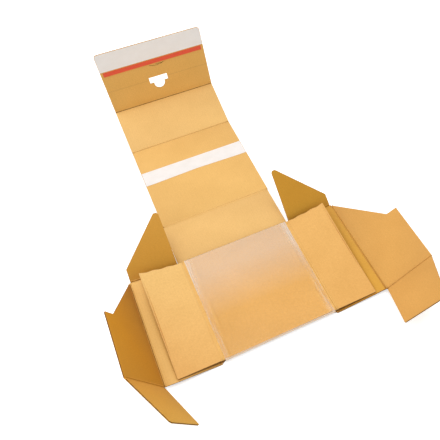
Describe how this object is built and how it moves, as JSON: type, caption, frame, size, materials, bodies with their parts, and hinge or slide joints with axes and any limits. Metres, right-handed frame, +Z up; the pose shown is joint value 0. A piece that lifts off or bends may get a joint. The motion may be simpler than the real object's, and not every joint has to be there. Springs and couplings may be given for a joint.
{
  "type": "corrugated mailer box",
  "caption": "Opened corrugated mailer box with side walls, dust flaps, top flaps, a wrap-over lid with peel strips and a film-covered retention insert.",
  "frame": {"origin": "centre of the base panel on its underside", "axes": "+Z up, +Y towards the lid, +X to the right seen from the front"},
  "size_m": [0.3861, 0.5352, 0.1302],
  "materials": {
    "kraft_board": "uncoated brown kraft liner",
    "peel_paper": "smooth release paper",
    "tear_tape": "red film tear tape",
    "clear_film": "clear stretch film"
  },
  "bodies": {
    "base": {"base_panel": "kraft_board", "insert_panel": "kraft_board", "retention_film": "clear_film"},
    "left_wall": {"left_side_wall": "kraft_board"},
    "right_wall": {"right_side_wall": "kraft_board"},
    "left_rear_dust": {"left_rear_dust_flap": "kraft_board"},
    "right_rear_dust": {"right_rear_dust_flap": "kraft_board"},
    "left_top": {"left_top_flap": "kraft_board"},
    "right_top": {"right_top_flap": "kraft_board"},
    "left_front_dust": {"left_front_dust_flap": "kraft_board"},
    "right_front_dust": {"right_front_dust_flap": "kraft_board"},
    "rear": {"rear_wall": "kraft_board"},
    "lid_top": {"top_panel": "kraft_board", "return_peel_strip": "peel_paper"},
    "lid_front": {"front_wall": "kraft_board"},
    "closing": {"closing_flap": "kraft_board", "end_peel_strip": "peel_paper", "tear_tape": "tear_tape"},
    "insert_left": {"insert_left_flap": "kraft_board"},
    "insert_right": {"insert_right_flap": "kraft_board"}
  },
  "joints": [
    {"name": "left_wall_fold", "type": "hinge", "parent": "base", "child": "left_wall", "pos_m": [-0.08, 0, 0.0008], "axis": [0, 1, 0], "range_deg": [0, 83.5]},
    {"name": "left_rear_dust_fold", "type": "hinge", "parent": "left_wall", "child": "left_rear_dust", "pos_m": [-0.11428, 0.077, 0.00471], "axis": [0.9936, 0, -0.1132], "range_deg": [-42, 48]},
    {"name": "left_top_fold", "type": "hinge", "parent": "left_wall", "child": "left_top", "pos_m": [-0.14856, 0, 0.00861], "axis": [0, 1, 0], "range_deg": [-61, 29]},
    {"name": "left_front_dust_fold", "type": "hinge", "parent": "left_top", "child": "left_front_dust", "pos_m": [-0.14856, -0.08, 0.00861], "axis": [-0.3827, 0, 0.9239], "range_deg": [-22, 68]},
    {"name": "insert_left_fold", "type": "hinge", "parent": "base", "child": "insert_left", "pos_m": [-0.076, -0.00004, 0.00894], "axis": [0, 0.9995, 0.0316], "range_deg": [0, 87.92]},
    {"name": "right_wall_fold", "type": "hinge", "parent": "base", "child": "right_wall", "pos_m": [0.08, 0, 0.0008], "axis": [0, -1, 0], "range_deg": [0, 84.5]},
    {"name": "right_rear_dust_fold", "type": "hinge", "parent": "right_wall", "child": "right_rear_dust", "pos_m": [0.11434, 0.077, 0.00411], "axis": [0.9954, 0, 0.0958], "range_deg": [-49, 41]},
    {"name": "right_top_fold", "type": "hinge", "parent": "right_wall", "child": "right_top", "pos_m": [0.14868, 0, 0.00741], "axis": [0, -1, 0], "range_deg": [-27, 63]},
    {"name": "right_front_dust_fold", "type": "hinge", "parent": "right_top", "child": "right_front_dust", "pos_m": [0.14868, -0.08, 0.00741], "axis": [-0.8434, 0, -0.5373], "range_deg": [-25, 65]},
    {"name": "insert_right_fold", "type": "hinge", "parent": "base", "child": "insert_right", "pos_m": [0.078, -0.00004, 0.00894], "axis": [0, -0.9995, -0.0316], "range_deg": [0, 88.66]},
    {"name": "rear_wall_fold", "type": "hinge", "parent": "base", "child": "rear", "pos_m": [0, 0.079, 0.0008], "axis": [1, 0, 0], "range_deg": [-0.5, 89.5]},
    {"name": "lid_top_fold", "type": "hinge", "parent": "rear", "child": "lid_top", "pos_m": [0, 0.1504, 0.00142], "axis": [1, 0, 0], "range_deg": [-0.5, 89.5]},
    {"name": "lid_front_fold", "type": "hinge", "parent": "lid_top", "child": "lid_front", "pos_m": [0, 0.31137, 0.00423], "axis": [1, 0, 0], "range_deg": [-22.5, 67.5]},
    {"name": "closing_flap_fold", "type": "hinge", "parent": "lid_front", "child": "closing", "pos_m": [0, 0.37905, 0.03366], "axis": [1, 0, 0], "range_deg": [-60.5, 29.5]}
  ],
  "couplings": [
    {"joint": "insert_left_fold", "follows": "left_wall_fold", "ratio": 1.0523},
    {"joint": "insert_right_fold", "follows": "right_wall_fold", "ratio": 1.0487}
  ]
}
